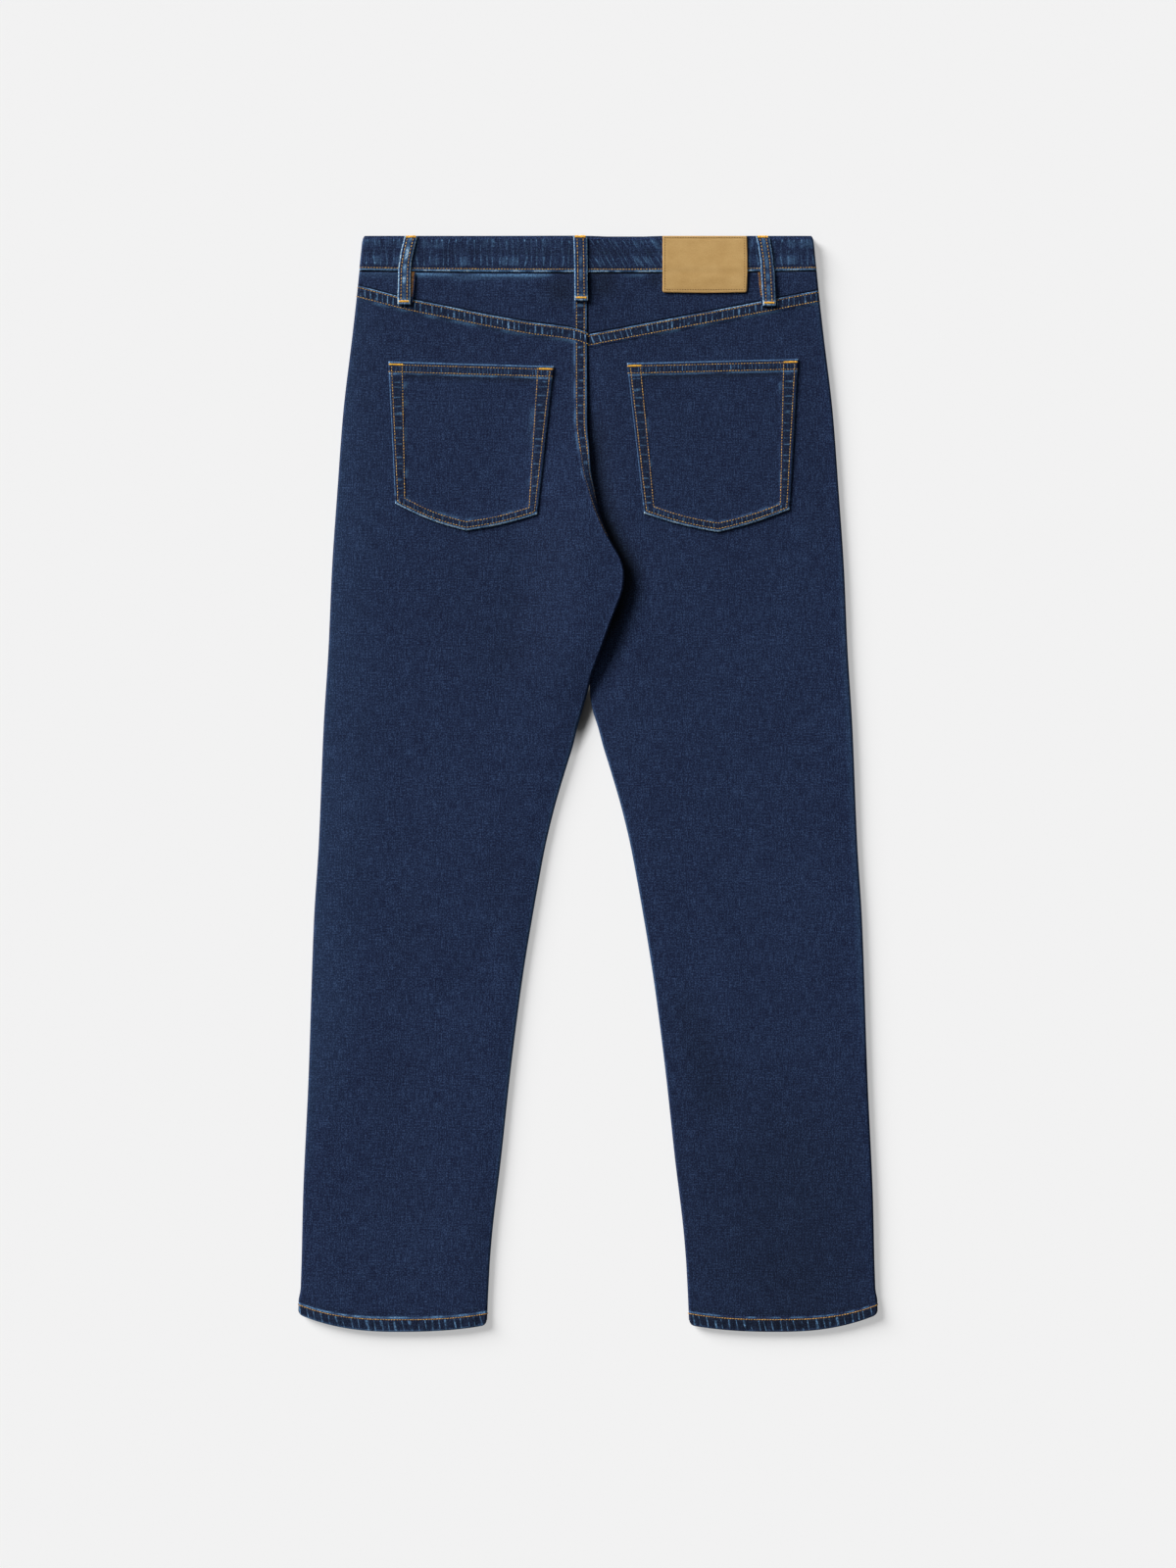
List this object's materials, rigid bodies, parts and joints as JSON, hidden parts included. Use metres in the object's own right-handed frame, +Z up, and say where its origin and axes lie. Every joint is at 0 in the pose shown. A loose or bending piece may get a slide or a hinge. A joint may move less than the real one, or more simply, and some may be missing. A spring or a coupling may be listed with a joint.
{
  "type": "straight leg jeans",
  "caption": "Straight leg denim jeans laid flat, back up, with yoke, patch pockets, belt loops and a leather patch at the waistband.",
  "frame": {"origin": "centre of the garment's box on the surface it lies on", "axes": "+Y along the legs towards the waistband, +Z up out of the back, so the wearer's right is at +X"},
  "size_m": [0.5916, 1.118, 0.0133],
  "materials": {
    "denim": "woven twill, indigo, rinse washed",
    "leather": "tan, matt",
    "button": "aged copper, satin"
  },
  "bodies": {
    "root": {"back_left": "denim", "back_right": "denim", "yoke_left": "denim", "yoke_right": "denim", "front_left": "denim", "front_right": "denim", "waistband": "denim", "pocket_left": "denim", "pocket_right": "denim", "pocket_facing_left": "denim", "pocket_facing_right": "denim", "loop_back_left": "denim", "loop_back_centre": "denim", "loop_back_right": "denim", "loop_front_left": "denim", "loop_front_right": "denim", "patch": "leather", "button": "button"}
  },
  "joints": []
}
